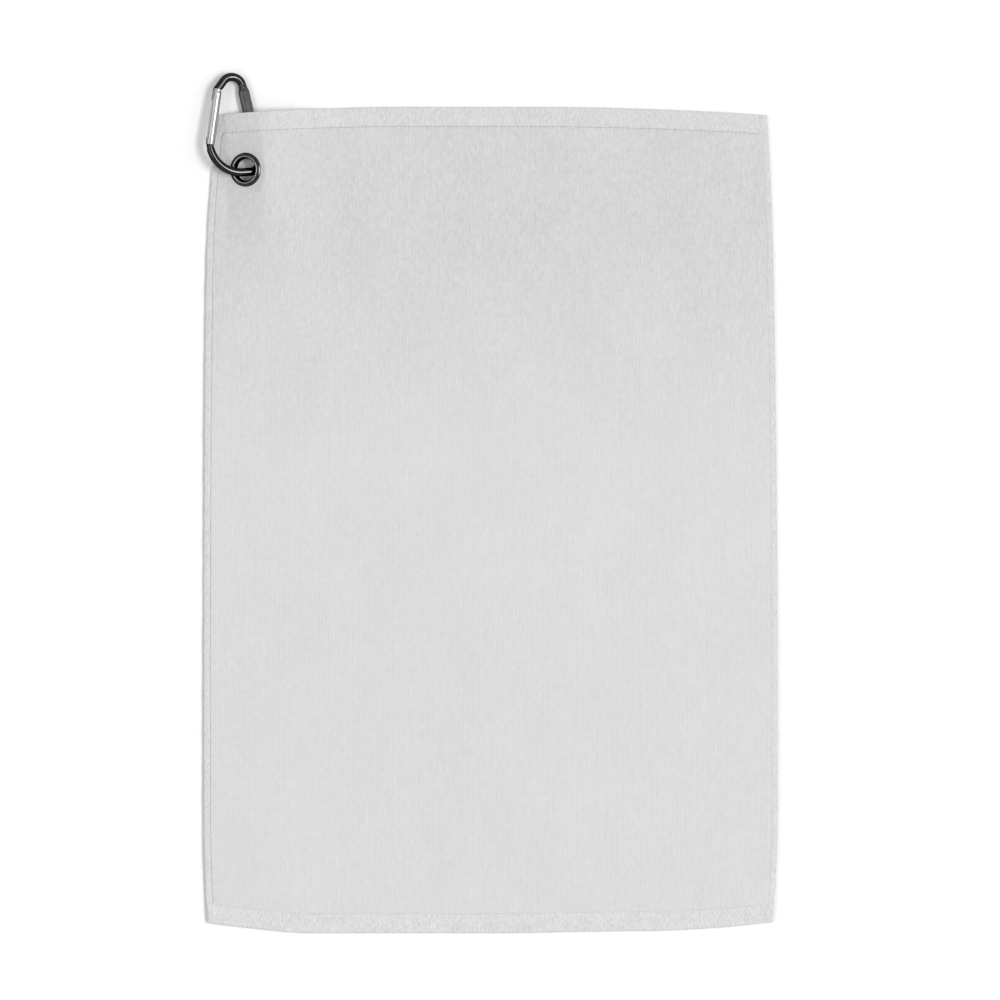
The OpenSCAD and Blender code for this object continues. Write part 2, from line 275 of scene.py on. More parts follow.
def solid(name, make):
    """A plain object from a bmesh maker, in millimetres, as stock for cutting."""
    shape = bmesh.new()
    make(shape)
    bmesh.ops.scale(shape, vec=(MM, MM, MM), verts=shape.verts)
    bmesh.ops.recalc_face_normals(shape, faces=shape.faces)
    mesh = bpy.data.meshes.new(name)
    shape.to_mesh(mesh)
    shape.free()
    obj = bpy.data.objects.new(name, mesh)
    bpy.context.scene.collection.objects.link(obj)
    return obj


def block(low, high):
    """A box between two corners."""
    low, high = Vector(low), Vector(high)
    place = Matrix.Translation((low + high) / 2) @ Matrix.Diagonal((*(high - low), 1))
    return solid("block", lambda shape: bmesh.ops.create_cube(shape, size=1, matrix=place))


def rod(radius, start, end, axis="Z", at=(0, 0, 0), sides=48):
    """A cylinder along an axis through a point."""
    turn = Matrix.Identity(4) if axis == "Z" else Matrix.Rotation(math.radians(-90), 4, "X")
    place = Matrix.Translation(at) @ turn @ Matrix.Translation((0, 0, (start + end) / 2))
    return solid(
        "rod",
        lambda shape: bmesh.ops.create_cone(
            shape, cap_ends=True, segments=sides, radius1=radius, radius2=radius,
            depth=end - start, matrix=place,
        ),
    )


# ---- Materials ----


class Nodes:
    """A material's node tree, with short ways to add what these materials share."""

    def __init__(self, name, colour, roughness, metallic=0.0, **sockets):
        self.material = bpy.data.materials.new(name)
        self.material.use_nodes = True
        self.tree = self.material.node_tree
        self.shader = self.tree.nodes["Principled BSDF"]
        self.shader.inputs["Base Color"].default_value = (*colour, 1)
        self.shader.inputs["Roughness"].default_value = roughness
        self.shader.inputs["Metallic"].default_value = metallic
        for socket, value in sockets.items():
            self.shader.inputs[socket.replace("_", " ")].default_value = value
        self.place = self.tree.nodes.new("ShaderNodeTexCoord").outputs["Object"]
        self.normal = None

    def put(self, kind, **values):
        node = self.tree.nodes.new(kind)
        for key, value in values.items():
            setattr(node, key, value)
        return node

    def join(self, a, b):
        self.tree.links.new(a, b)

    def stretched(self, scale, turn=(0, 0, 0), place=None):
        """Object coordinates times a scale for each axis, in features per metre."""
        node = self.put("ShaderNodeMapping")
        node.inputs["Scale"].default_value = scale
        node.inputs["Rotation"].default_value = turn
        self.join(place or self.place, node.inputs["Vector"])
        return node.outputs["Vector"]

    def noise(self, scale, detail=3.0, roughness=0.55, **more):
        node = self.put("ShaderNodeTexNoise")
        node.inputs["Scale"].default_value = 1
        node.inputs["Detail"].default_value = detail
        node.inputs["Roughness"].default_value = roughness
        self.join(self.stretched(scale, **more), node.inputs["Vector"])
        return node.outputs["Fac"]

    def spread(self, value, low, high, out_low=0.0, out_high=1.0):
        """Maps a value from low..high to out_low..out_high, held within that range."""
        node = self.put("ShaderNodeMapRange")
        node.inputs["From Min"].default_value = low
        node.inputs["From Max"].default_value = high
        node.inputs["To Min"].default_value = out_low
        node.inputs["To Max"].default_value = out_high
        self.join(value, node.inputs["Value"])
        return node.outputs["Result"]

    def axes(self):
        """The X, Y and Z outputs of the object coordinates."""
        node = self.put("ShaderNodeSeparateXYZ")
        self.join(self.place, node.inputs[0])
        return node.outputs

    def times(self, a, b):
        """The product of two values."""
        node = self.put("ShaderNodeMath", operation="MULTIPLY")
        self.join(a, node.inputs[0])
        self.join(b, node.inputs[1])
        return node.outputs[0]

    def sums(self, parts):
        """The sum of values, each times its weight."""
        total = None
        for value, weight in parts:
            node = self.put("ShaderNodeMath", operation="MULTIPLY_ADD")
            self.join(value, node.inputs[0])
            node.inputs[1].default_value = weight
            if total is None:
                node.inputs[2].default_value = 0
            else:
                self.join(total, node.inputs[2])
            total = node.outputs[0]
        return total

    def tint(self, value, dark, light, low=0.0, high=1.0):
        """Paints the base colour from dark to light as a value goes from low to high."""
        ramp = self.put("ShaderNodeValToRGB")
        ramp.color_ramp.elements[0].position = low
        ramp.color_ramp.elements[0].color = (*dark, 1)
        ramp.color_ramp.elements[1].position = high
        ramp.color_ramp.elements[1].color = (*light, 1)
        self.join(value, ramp.inputs["Fac"])
        self.join(ramp.outputs["Color"], self.shader.inputs["Base Color"])

    def rough(self, value, low, high):
        """Sets the roughness from low to high over the middle of a noise's range."""
        self.join(self.spread(value, 0.3, 0.7, low, high), self.shader.inputs["Roughness"])

    def bump(self, value, depth, strength=1.0):
        """Adds relief of a depth in millimetres on top of any before it."""
        node = self.put("ShaderNodeBump")
        node.inputs["Distance"].default_value = depth * MM
        node.inputs["Strength"].default_value = strength
        self.join(value, node.inputs["Height"])
        if self.normal:
            self.join(self.normal, node.inputs["Normal"])
        self.normal = node.outputs["Normal"]
        self.join(self.normal, self.shader.inputs["Normal"])


def grey(value):
    return (value, value, value)


def velour():
    """Sheared cotton pile: mottling and short fibres, darker and more marked by the top hem."""
    n = Nodes("velour", grey(0.66), 0.95, Sheen_Weight=0.35, Sheen_Roughness=0.6)
    blotch = n.noise((22, 14, 22), 2)
    mottle = n.noise((420, 280, 420), 3, 0.6)
    streak = n.noise((1500, 230, 800), 2, 0.5)
    weft = n.noise((300, 1500, 400), 2, 0.5)
    fibre = n.noise((2600, 1900, 2600), 2, 0.6)
    shade = n.sums([(blotch, 0.12), (mottle, 0.22), (streak, 0.28), (weft, 0.12), (fibre, 0.26)])
    near_top = n.spread(n.axes()["Y"], 0.03, 0.17)
    swing = n.times(n.spread(shade, 0.0, 1.0, -0.5, 0.5), near_top)
    shade = n.sums([(shade, 1.0), (swing, 0.9), (near_top, -0.13)])
    n.tint(shade, grey(0.55), grey(0.762), 0.2, 0.8)
    n.bump(streak, 0.14, 0.4)
    n.bump(mottle, 0.15, 0.3)
    n.bump(fibre, 0.1, 0.6)
    return n.material


def terry():
    """The back of the cloth: small uncut loops, with painted shade in the gaps between them."""
    n = Nodes("terry", grey(0.66), 0.95, Sheen_Weight=0.25, Sheen_Roughness=0.6)
    cells = n.put("ShaderNodeTexVoronoi")
    cells.inputs["Scale"].default_value = 1
    n.join(n.stretched((740, 620, 500)), cells.inputs["Vector"])
    loop = n.spread(cells.outputs["Distance"], 0.0, 0.75, 1.0, 0.0)
    blotch = n.noise((60, 40, 60), 3)
    fibre = n.noise((2600, 2600, 2600), 2, 0.6)
    # The loop mask makes the colour darker in the gaps between loops: painted shade.
    shade = n.sums([(loop, 0.45), (blotch, 0.3), (fibre, 0.25)])
    n.tint(shade, grey(0.42), grey(0.76), 0.2, 0.8)
    n.bump(loop, 0.5, 0.8)
    n.bump(fibre, 0.1, 0.6)
    return n.material


def hem_cloth():
    """Flat-woven border, with its twill leaning outwards on either half."""
    n = Nodes("hem_cloth", grey(0.7), 0.92, Sheen_Weight=0.2, Sheen_Roughness=0.6)
    axes = n.axes()
    mirrored = n.put("ShaderNodeMath", operation="ABSOLUTE")
    n.join(axes["X"], mirrored.inputs[0])
    both = n.put("ShaderNodeCombineXYZ")
    n.join(mirrored.outputs[0], both.inputs["X"])
    n.join(axes["Y"], both.inputs["Y"])
    n.join(axes["Z"], both.inputs["Z"])
    lean = (0, 0, math.radians(38))
    twill = n.noise((1250, 400, 600), 2, 0.5, turn=lean, place=both.outputs[0])
    weave = n.noise((1900, 1900, 1900), 2, 0.6)
    blotch = n.noise((90, 90, 90), 3)
    near_top = n.spread(axes["Y"], -0.1, 0.17)
    shade = n.sums([(twill, 0.55), (weave, 0.35), (blotch, 0.1), (near_top, -0.04)])
    n.tint(shade, grey(0.528), grey(0.785), 0.3, 0.7)
    n.bump(twill, 0.25, 0.7)
    n.bump(weave, 0.1, 0.6)
    return n.material


def thread():
    """Twisted cotton sewing thread."""
    n = Nodes("thread", grey(0.72), 0.8, Sheen_Weight=0.2)
    twist = n.noise((2600, 2600, 2600), 1, 0.5, turn=(0, 0, math.radians(45)))
    n.tint(twist, grey(0.62), grey(0.82), 0.3, 0.7)
    n.bump(twist, 0.08, 0.7)
    return n.material


def gunmetal():
    """Dark plated brass of the eyelet, hazy, and painted brighter along its crest as a painted
    highlight.
    """
    n = Nodes("gunmetal", (0.07, 0.07, 0.073), 0.25, 1.0, Specular_Tint=(0.1, 0.1, 0.1, 1))
    haze = n.noise((420, 420, 420), 4, 0.6)
    fine = n.noise((2200, 2200, 2200), 2, 0.6)
    flat = n.put("ShaderNodeVectorMath", operation="MULTIPLY")
    n.join(n.place, flat.inputs[0])
    flat.inputs[1].default_value = (1, 1, 0)
    radius = n.put("ShaderNodeVectorMath", operation="LENGTH")
    n.join(flat.outputs[0], radius.inputs[0])
    radius = radius.outputs["Value"]
    # A thin ring on the crest gets a much brighter base colour: a painted highlight standing in for
    # the crest's reflection.
    inside = n.spread(radius, (CREST_R - 0.75) * MM, (CREST_R - 0.15) * MM)
    outside = n.spread(radius, (CREST_R + 0.05) * MM, (CREST_R + 0.55) * MM, 1.0, 0.0)
    shade = n.sums([(haze, 1.0), (n.times(inside, outside), 3.0)])
    n.tint(n.spread(shade, 0.35, 3.5), (0.048, 0.048, 0.05), (0.42, 0.42, 0.43))
    n.rough(fine, 0.16, 0.28)
    n.bump(haze, 0.02, 0.3)
    return n.material


def black_nickel():
    """Polished black plating of the clip, with faint ripples and handling marks."""
    n = Nodes("black_nickel", (0.05, 0.05, 0.052), 0.12, 1.0, Specular_Tint=(0.0, 0.0, 0.0, 1))
    ripple = n.noise((260, 260, 260), 3, 0.5)
    marks = n.noise((1500, 400, 1500), 4, 0.65)
    n.tint(marks, (0.043, 0.043, 0.045), (0.057, 0.057, 0.06), 0.35, 0.75)
    n.rough(marks, 0.08, 0.15)
    n.bump(ripple, 0.03, 0.2)
    return n.material


def brushed_flat():
    """The pressed spine, brushed lengthwise, with darker worn spots."""
    n = Nodes("brushed_flat", (0.3, 0.3, 0.31), 0.4, 1.0, Anisotropic=0.5)
    lines = n.noise((2600, 26, 2600), 3, 0.6)
    bands = n.noise((700, 14, 700), 2, 0.5)
    spots = n.noise((330, 190, 330), 3, 0.6)
    shade = n.sums([(lines, 0.42), (bands, 0.4), (spots, 0.18)])
    n.tint(shade, (0.02, 0.02, 0.021), (0.1, 0.1, 0.102), 0.36, 0.66)
    n.rough(lines, 0.36, 0.55)
    n.bump(lines, 0.05, 0.6)
    return n.material


def bright_chrome():
    """Satin-bright plating of the gate, with very fine lengthwise lines."""
    n = Nodes("bright_chrome", (0.8, 0.8, 0.81), 0.2, 1.0)
    lines = n.noise((1900, 30, 1900), 3, 0.6)
    haze = n.noise((240, 120, 240), 3, 0.6)
    shade = n.sums([(lines, 0.6), (haze, 0.4)])
    n.tint(shade, (0.36, 0.36, 0.365), (0.54, 0.54, 0.545), 0.36, 0.62)
    n.rough(haze, 0.3, 0.42)
    n.bump(lines, 0.01, 0.4)
    return n.material


def plain_steel():
    """Turned steel of the rivet, plunger and spring."""
    n = Nodes("plain_steel", (0.45, 0.45, 0.46), 0.32, 1.0)
    haze = n.noise((900, 900, 900), 3, 0.6)
    n.tint(haze, (0.32, 0.32, 0.33), (0.58, 0.58, 0.59), 0.35, 0.65)
    n.rough(haze, 0.24, 0.4)
    n.bump(haze, 0.03, 0.4)
    return n.material


def floor_paint():
    """The plain white ground."""
    n = Nodes("floor_paint", grey(0.95), 0.9)
    grain = n.noise((300, 300, 300), 2)
    n.tint(grain, grey(0.945), grey(0.955), 0.3, 0.7)
    return n.material


VELOUR, TERRY, HEM_CLOTH, THREAD = velour(), terry(), hem_cloth(), thread()
GUNMETAL, BLACK, BRUSHED = gunmetal(), black_nickel(), brushed_flat()
CHROME, STEEL = bright_chrome(), plain_steel()

# ---- The lie of the visible cloth ----

RIB = 1.35
RIB_DEPTH = 0.22
BACK_GAP = 0.5
PITCH = 2.75
STITCH_IN = 0.6


def waves(x, y):
    """Soft swells of a towel laid out by hand, fading out beside the clip."""
    swell = np.sin(x / 31 + 1.4 * np.sin(y / 85) + 0.7) * np.sin(y / 47 + 0.9 * np.sin(x / 60))
    slow = np.sin(x / 58 - y / 97 + 2.1)
    calm = smooth((np.hypot(x - EYELET[0], y - EYELET[1] - 15) - 45) / 50)
    return calm * (0.55 + 0.3 * swell + 0.25 * slow)


def pucker(s, t):
    """Ripples that the hem's stitches draw into the cloth, dying out away from the edges."""
    side = HALF_W - np.abs(s)
    end = HALF_L - np.abs(t)
    along_sides = np.exp(-side / 9) * np.sin(t / 4.3 + 2 * np.sin(t / 23))
    along_ends = np.exp(-end / 16) * np.sin(s / 5.1 + 2 * np.sin(s / 31))
    return 0.16 * (along_sides + along_ends) + 0.2


def lie(s, t):
    """Plan place and lowest height of the cloth at its flat point (s, t)."""
    x, y = plan(s, t)
    z = underside(x, y)
    lift = waves(x, y) + pucker(s, t) * smooth((from_eyelet(x, y) - 16) / 20)
    return x, y, z + lift


# ---- Towel ----


def dashes(a):
    """How deep the stitches pull at a place along an edge, from 0 to 1, a little unevenly."""
    return np.cos(math.pi * a / PITCH) ** 2 * (0.55 + 0.45 * np.sin(a / 0.95 + 1.6 * np.sin(a / 9)))


def panel_rows():
    """Where the panel's mesh has its rows, closer together at the clip's end and at the seams."""
    low = np.arange(-PANEL_L + 10, 112, 11.0)
    high = np.arange(118, PANEL_L - 3, 3.2)
    edge = np.array([0, 0.5, 1.1, 2.2])
    return np.concatenate([-PANEL_L + edge, low, high, PANEL_L - edge[::-1]])


def towel_panel():
    """The velour cloth: ribbed pile on the face, loops on the back, cut away in the eyelet."""
    ribs = round(2 * PANEL_W / RIB)
    per_rib = 4
    s_top = np.linspace(-PANEL_W, PANEL_W, per_rib * ribs + 1)
    s_back = s_top[::per_rib]
    rows = panel_rows()
    crest = np.tile([0.0, 0.75, 1.0, 0.75], ribs)
    crest = np.append(crest, 0.0)
    uneven = 0.55 + 0.9 * draws.random((len(rows), ribs))
    uneven = np.repeat(uneven, per_rib, axis=1)
    uneven = np.concatenate([uneven, uneven[:, -1:]], axis=1)
    sway = 0.16 * np.cumsum(draws.normal(size=len(rows))) / math.sqrt(len(rows))
    rings = []
    for i, t in enumerate(rows):
        s = s_top + sway[i] * smooth((PANEL_W - np.abs(s_top)) / 6)
        x, y, z = lie(s, np.full_like(s, t))
        free = unclamped(x, y)
        pile = CLOTH_T - RIB_DEPTH * (1 - crest) * uneven[i]
        pile = pile - 0.12 * (1 - smooth((PANEL_W - np.abs(s_top)) / 1.2))
        deep = 0.75 * (0.2 + 0.8 * dashes(s_top)) if t > 0 else 0.2
        pile = pile - deep * (1 - smooth((PANEL_L - abs(t)) / 2.4))
        top = np.stack([x, y, z + CLAMPED_T + (pile - CLAMPED_T) * free], axis=1)
        s = s_back[::-1]
        x, y, z = lie(s, np.full_like(s, t))
        gap = BACK_GAP * unclamped(x, y)
        back = np.stack([x, y, z + gap + 0.12 * draws.random(len(s)) * (gap > 0.1)], axis=1)
        rings.append(np.concatenate([top, back]))
    rings = np.array(rings)
    count, around = rings.shape[:2]
    faces = []
    kinds = []
    for i in range(count - 1):
        for j in range(around):
            k = (j + 1) % around
            a, b = i * around, (i + 1) * around
            faces.append((a + j, a + k, b + k, b + j))
            kinds.append(int(j >= len(s_top) - 1))
    for start in (0, (count - 1) * around):
        for m in range(ribs):
            tops = [start + per_rib * m + k for k in range(per_rib + 1)]
            backs = [start + around - 2 - m, start + around - 1 - m]
            faces.append(tops + backs)
            kinds.append(0)
    points = rings.reshape(-1, 3)
    cloths = [VELOUR, TERRY]
    obj = piece("towel_velour", points, faces, "towel", cloths, ["towel_panel"], 60)
    obj.data.polygons.foreach_set("material_index", np.array(kinds, np.int32))
    hole = rod(HOLE_R + WALL + 0.6, -8, 8)
    hole.matrix_world = eyelet_place()
    bpy.context.view_layer.update()
    parent, rides = obj.parent, obj.matrix_world.copy()
    cut(obj, hole)
    obj.parent = parent
    obj.matrix_world = rides
    return obj


def hem_profile(width, dip):
    """Section of a folded hem as (distance out from its inner edge, height)."""
    r = (HEM_T - 0.1) / 2
    top = [0.0, 0.12, 0.3, 0.45, 0.6, 0.75, 0.95, 1.3]
    step = (width - r - 1.3) / 6
    top += [1.3 + step * k for k in range(1, 7)]
    fold = [math.radians(a) for a in range(75, -76, -15)]
    back = top[::-1][:-2]
    section = []
    for d in top:
        rise = HEM_T - 0.15 + 0.12 * math.sin(math.pi * min(1, d / (width - r)))
        section.append((d, rise - dip * (1 - float(smooth(d / 0.4)))))
    section += [(width - r + r * math.cos(a) ** 0.42, r + r * math.sin(a)) for a in fold]
    section += [(d, 0.0) for d in back]
    section += [(0.1, 0.12), (0.0, 0.35)]
    return np.array(section)


def hem(name, node, width, start, end, place, caps, dip):
    """A hem along one edge.

    place(along, out) gives the flat point, caps rounds the two ends, and dip is how far the inner
    edge and the stitches are drawn down.
    """
    section = hem_profile(width, dip)
    d, h = section[:, 0], section[:, 1]
    along = np.arange(start, end, PITCH / 4)
    along = np.append(along, end)
    rings = []
    for a in along:
        s, t = place(np.full_like(d, a), d)
        x, y, z = lie(s, t)
        middle = HEM_T / 2
        height = h.copy()
        pull = np.exp(-(((d - STITCH_IN) / 0.42) ** 2))
        drop = pull * dip * (0.25 + 0.6 * float(dashes(a)))
        height = np.where(h > middle, height - drop, height + drop * (d < 1.5))
        rope = 0.07 * np.sin(2 * math.pi * (a + 0.9 * d * math.copysign(1, a)) / (2 * PITCH))
        height = height + np.where(h > middle, rope * smooth((d - 1) / 1.5), 0)
        if caps:
            tip = min(a - start, end - a)
            round_end = math.sqrt(max(0.02, 1 - max(0, 1 - tip / 1.1) ** 2))
            lump = 0.35 * (1 - float(smooth((tip - SIDE_HEM) / 1.5)))
            height = middle + (height - middle) * round_end
            height = height + np.where(h > middle, lump * round_end, 0)
        rings.append(np.stack([x, y, z + height], axis=1))
    points, faces = loops(rings)
    return piece(name, points, faces, "towel", [HEM_CLOTH], [node], 60)


def stitches(name, node, start, end, place):
    """A run of lockstitches: one rounded thread arch on the face and one on the back per pitch."""
    r = 0.24
    sides = 8
    steps = np.linspace(-1, 1, 7)
    points, faces = [], []
    first = math.ceil(start / PITCH + 0.5)
    last = math.floor(end / PITCH - 0.5)
    for k in range(first, last):
        middle = (k + 0.5) * PITCH
        lean = draws.normal() * 0.05
        for face_side in (1, -1):
            rings = []
            for q in steps:
                a = middle + q * PITCH * 0.47
                base = HEM_T - 0.17 if face_side > 0 else 0.2
                arch = face_side * (0.1 - 0.42 * abs(q) ** 3)
                thin = r * (1 - 0.45 * abs(q) ** 4)
                turns = np.arange(sides) * 2 * math.pi / sides
                out = STITCH_IN + lean * q + thin * np.cos(turns)
                s, t = place(np.full(sides, a), out)
                x, y, z = lie(s, t)
                rings.append(np.stack([x, y, z + base + arch + thin * 0.8 * np.sin(turns)], axis=1))
            new_points, new_faces = loops(rings)
            base_index = sum(len(p) for p in points)
            points.append(new_points)
            faces += [[v + base_index for v in f] for f in new_faces]
    return piece(name, np.concatenate(points), faces, "towel", [THREAD], [node], 60)


def edge_top(along, out):
    return along, PANEL_L + out


def edge_bottom(along, out):
    return along, -PANEL_L - out


def edge_left(along, out):
    return -PANEL_W - out, along


def edge_right(along, out):
    return PANEL_W + out, along


def towel():
    """Panel, four hems and their stitching."""
    panel = towel_panel()
    side_l = PANEL_L + 0.3
    for side, place, width, hem_l, seam_l, caps, dip in (
        ("top", edge_top, END_HEM, HALF_W, PANEL_W, True, 0.5),
        ("bottom", edge_bottom, END_HEM, HALF_W, PANEL_W, True, 0.15),
        ("left", edge_left, SIDE_HEM, side_l, PANEL_L, False, 0.08),
        ("right", edge_right, SIDE_HEM, side_l, PANEL_L, False, 0.08),
    ):
        hem(f"{side}_fold", f"{side}_hem", width, -hem_l, hem_l, place, caps, dip)
        stitches(f"{side}_stitches", f"{side}_stitching", -seam_l, seam_l, place)


# ---- Eyelet ----


def eyelet_place():
    """Where the eyelet lies: its Z is the normal of the leaning cloth."""
    turn = Matrix.Rotation(-LEAN, 4, "Y")
    return Matrix.Translation(Vector(EYELET) * MM) @ turn


def eyelet():
    """Sheet-metal eyelet: a rim with a crest on the face, a barrel, and a curl over the washer."""
    base = CLAMPED_T / 2
    washer_z = -base - WALL
    middle, half = (HOLE_R + EYELET_R) / 2, (EYELET_R - HOLE_R) / 2
    curl = 0.8
    ridge_r = 0.65
    ridge_z = base + RIM_H - ridge_r
    profile = [(EYELET_R, base), (EYELET_R - 0.03, base + 0.14), (EYELET_R - 0.14, base + 0.28)]
    for a in np.radians(np.arange(65, 171, 7)):
        profile.append((CREST_R + ridge_r * math.cos(a), ridge_z + ridge_r * math.sin(a)))
    profile += [(7.4, base + 0.72), (7.1, base + 0.36), (6.9, base + 0.05), (HOLE_R, base - 0.3)]
    profile.append((HOLE_R, washer_z + 0.4))
    for a in np.radians(np.arange(0, 181, 20)):
        profile.append((HOLE_R + curl - curl * math.cos(a), washer_z - curl * math.sin(a)))
    for a in np.radians(np.arange(180, -1, -30)):
        profile.append((HOLE_R + curl - 0.2 * math.cos(a), washer_z - 0.2 * math.sin(a)))
    profile.append((HOLE_R + WALL, base - 0.2))
    for a in np.radians(np.arange(180, -1, -15)):
        out = middle + (half - WALL) * math.cos(a) - 0.4 * math.sin(a)
        profile.append((out, base + 0.9 * math.sin(a) ** 0.85))
    points, faces = lathe(profile, 128)
    metal, at = [GUNMETAL], eyelet_place()
    piece("eyelet_ring", points, faces, "towel", metal, ["eyelet"], 50, at)
    outer = EYELET_R - 0.1
    inner = HOLE_R + WALL + 0.03
    low, high = washer_z + 0.01, washer_z + WALL - 0.01
    profile = [
        (inner, low), (outer - 0.25, low), (outer - 0.07, low + 0.07), (outer, low + 0.25),
        (outer, high), (outer - 0.5, high), (inner, high),
    ]
    points, faces = lathe(profile, 128)
    piece("washer", points, faces, "towel", metal, ["eyelet_washer"], 30, at)


# ---- Clip ----

ROD_R = 2.5
FAR_R = 6.7
LEG_L = 6.1
WIDE_R = 18.9
NEAR_R = 6.4
SPINE_L = 46.0
FLAT_W = 6.9
FLAT_T = 3.2
UNPRESSED_T = 6.4
SPINE = (-141.26, 209.62, 3.6)
FAR_C = np.array([-FAR_R, SPINE_L])
WIDE_C = np.array([-9.6, 13.1])
NEAR_C = np.array([-NEAR_R, 0.0])
FLAT_FROM = 4.0
TAPER = 5.0
NECK_L = 2.3
NECK_R = 2.2
GATE_R = 2.75
GATE_GAP = 0.2
HINGE_GAP = 0.1
BORE_R = 1.75
RIVET_Y = 3.1
RIVET_R = 0.8
RIVET_HEAD_R = 1.3
TONGUE_W = 3.2
TONGUE_T = 1.9
TONGUE_END = 3.2
SLOT_T = 2.2
NOSE_L = 3.6
SPRING_HOLE_L = 19.0


def side_angle(c1, r1, c2, r2):
    """Angle of the outward side of a belt that runs round two bends."""
    d = c2 - c1
    lean = math.asin((r1 - r2) / np.hypot(*d))
    return (math.atan2(d[1], d[0]) - math.pi / 2 + lean) % (2 * math.pi)


def on_bend(centre, r, angle):
    return centre + r * np.array([math.cos(angle), math.sin(angle)])


FAR_END = math.radians(130.2)
WIDE_FROM = math.radians(174.4)
WIDE_END = side_angle(WIDE_C, WIDE_R, NEAR_C, NEAR_R)
LEG_FROM = on_bend(FAR_C, FAR_R, FAR_END)
GATE_FROM = LEG_FROM + LEG_L * np.array([-math.sin(FAR_END), math.cos(FAR_END)])
GATE_TO = on_bend(WIDE_C, WIDE_R, WIDE_FROM)
GATE_SPAN = GATE_TO - GATE_FROM
GATE_WAY = GATE_SPAN / np.hypot(*GATE_SPAN)
GATE_TURN = math.atan2(-GATE_WAY[0], GATE_WAY[1])
GATE_L = np.hypot(*GATE_SPAN) - GATE_GAP


def clip_place():
    """Where the clip lies: its own XY is the plane of its loop, with Y along the spine."""
    yaw = Matrix.Rotation(math.radians(12.8), 4, "Z")
    roll = Matrix.Rotation(math.radians(16), 4, "Y")
    pitch = Matrix.Rotation(math.radians(-0.75), 4, "X")
    return Matrix.Translation(Vector(SPINE) * MM) @ yaw @ roll @ pitch


def gate_place():
    """Where the gate lies: Y runs from its hinge end to its free end, and +X is outwards."""
    start = Matrix.Translation((GATE_FROM[0] * MM, GATE_FROM[1] * MM, 0))
    return clip_place() @ start @ Matrix.Rotation(GATE_TURN, 4, "Z")


def clip_route():
    """Middle line of the rod from hinge to nose: points, headings and where the neck starts."""
    step = 0.5
    places, headings = [], []

    def arc(centre, r, start, end):
        count = max(2, round(abs(end - start) * r / step))
        for a in np.linspace(start, end, count):
            places.append(on_bend(centre, r, a))
            headings.append(a - math.pi / 2)

    def line(a, b, heading):
        count = max(2, round(np.hypot(*(b - a)) / step))
        for q in np.linspace(0, 1, count)[1:-1]:
            places.append(a + (b - a) * q)
            headings.append(heading)

    spine_top, spine_end = np.array([0.0, SPINE_L]), np.array([0.0, 0.0])
    leg_heading = FAR_END - math.pi / 2
    places.append(GATE_FROM)
    headings.append(leg_heading)
    line(GATE_FROM, LEG_FROM, leg_heading)
    arc(FAR_C, FAR_R, FAR_END, 0)
    line(spine_top, spine_end, -math.pi / 2)
    arc(NEAR_C, NEAR_R, 0, WIDE_END - 2 * math.pi)
    near_end, wide_start = on_bend(NEAR_C, NEAR_R, WIDE_END), on_bend(WIDE_C, WIDE_R, WIDE_END)
    line(near_end, wide_start, WIDE_END - math.pi / 2)
    arc(WIDE_C, WIDE_R, WIDE_END, WIDE_FROM + NECK_L / WIDE_R)
    shoulder = len(places)
    arc(WIDE_C, WIDE_R, WIDE_FROM + NECK_L / WIDE_R, WIDE_FROM)
    return np.array(places), np.array(headings), shoulder


def clip_rod():
    """The bent rod, round but pressed flat and brushed along its spine."""
    places, headings, shoulder = clip_route()
    sides = 48
    turns = np.arange(sides) * 2 * math.pi / sides
    rings, brushed = [], []
    rounded = ((0.0, 0.5), (0.0, 0.15), (0.05, 0.04), (0.15, 0.0))

    def ring(place, heading, r, half_t, square=0.0, black=True):
        """One ring of the rod, turned to lie square to the gate as far as asked."""
        way = np.array([math.cos(heading), math.sin(heading)])
        across = np.array([-way[1], way[0]])
        out = r * np.cos(turns)
        up = r * np.sin(turns)
        up = np.sign(up) * lower(np.abs(up), half_t, 0.25)
        lean = -square * (across @ GATE_WAY) / (way @ GATE_WAY)
        xy = place[None, :] + out[:, None] * (across + lean * way)[None, :]
        rings.append(np.column_stack([xy, up]))
        brushed.append(not black)

    last = len(places) - 1
    for i, (place, heading) in enumerate(zip(places, headings)):
        way = np.array([math.cos(heading), math.sin(heading)])
        on_spine = abs(place[0]) < 0.01 and 0 < place[1] < SPINE_L
        inner = min(place[1] - FLAT_FROM, SPINE_L - place[1]) if on_spine else 0.0
        share = float(smooth(inner / TAPER))
        r = ROD_R + (FLAT_W / 2 - ROD_R) * share
        half_t = UNPRESSED_T / 2 + (FLAT_T - UNPRESSED_T) / 2 * share**0.6
        if i == 0:
            for back, thinner in rounded:
                ring(place + back * way, heading, r - thinner, half_t, 1.0)
            continue
        if i == last:
            for back, thinner in rounded[::-1]:
                ring(place - back * way, heading, NECK_R - thinner, half_t, 1.0)
            continue
        if i == shoulder:
            for back, thinner in ((0.2, 0.0), (0.06, 0.04), (0.0, 0.12)):
                ring(place - back * way, heading, ROD_R - thinner, half_t)
        by_hinge = 1 - np.hypot(*(place - GATE_FROM)) / 3
        by_nose = 1 - np.hypot(*(place - GATE_TO)) / 1.8
        square = max(by_hinge, by_nose, 0)
        bare = place[0] > -0.05 and place[1] > FLAT_FROM + 0.6
        ring(place, heading, NECK_R if i >= shoulder else r, half_t, square, not bare)
    points, faces = loops(rings)
    metals, at = [BLACK, BRUSHED], clip_place()
    obj = piece("clip_rod", points, faces, "clip", metals, ["clip_body"], 40, at)
    kinds = [int(brushed[k // sides]) for k in range(len(faces) - 2)] + [0, 0]
    obj.data.polygons.foreach_set("material_index", np.array(kinds, np.int32))


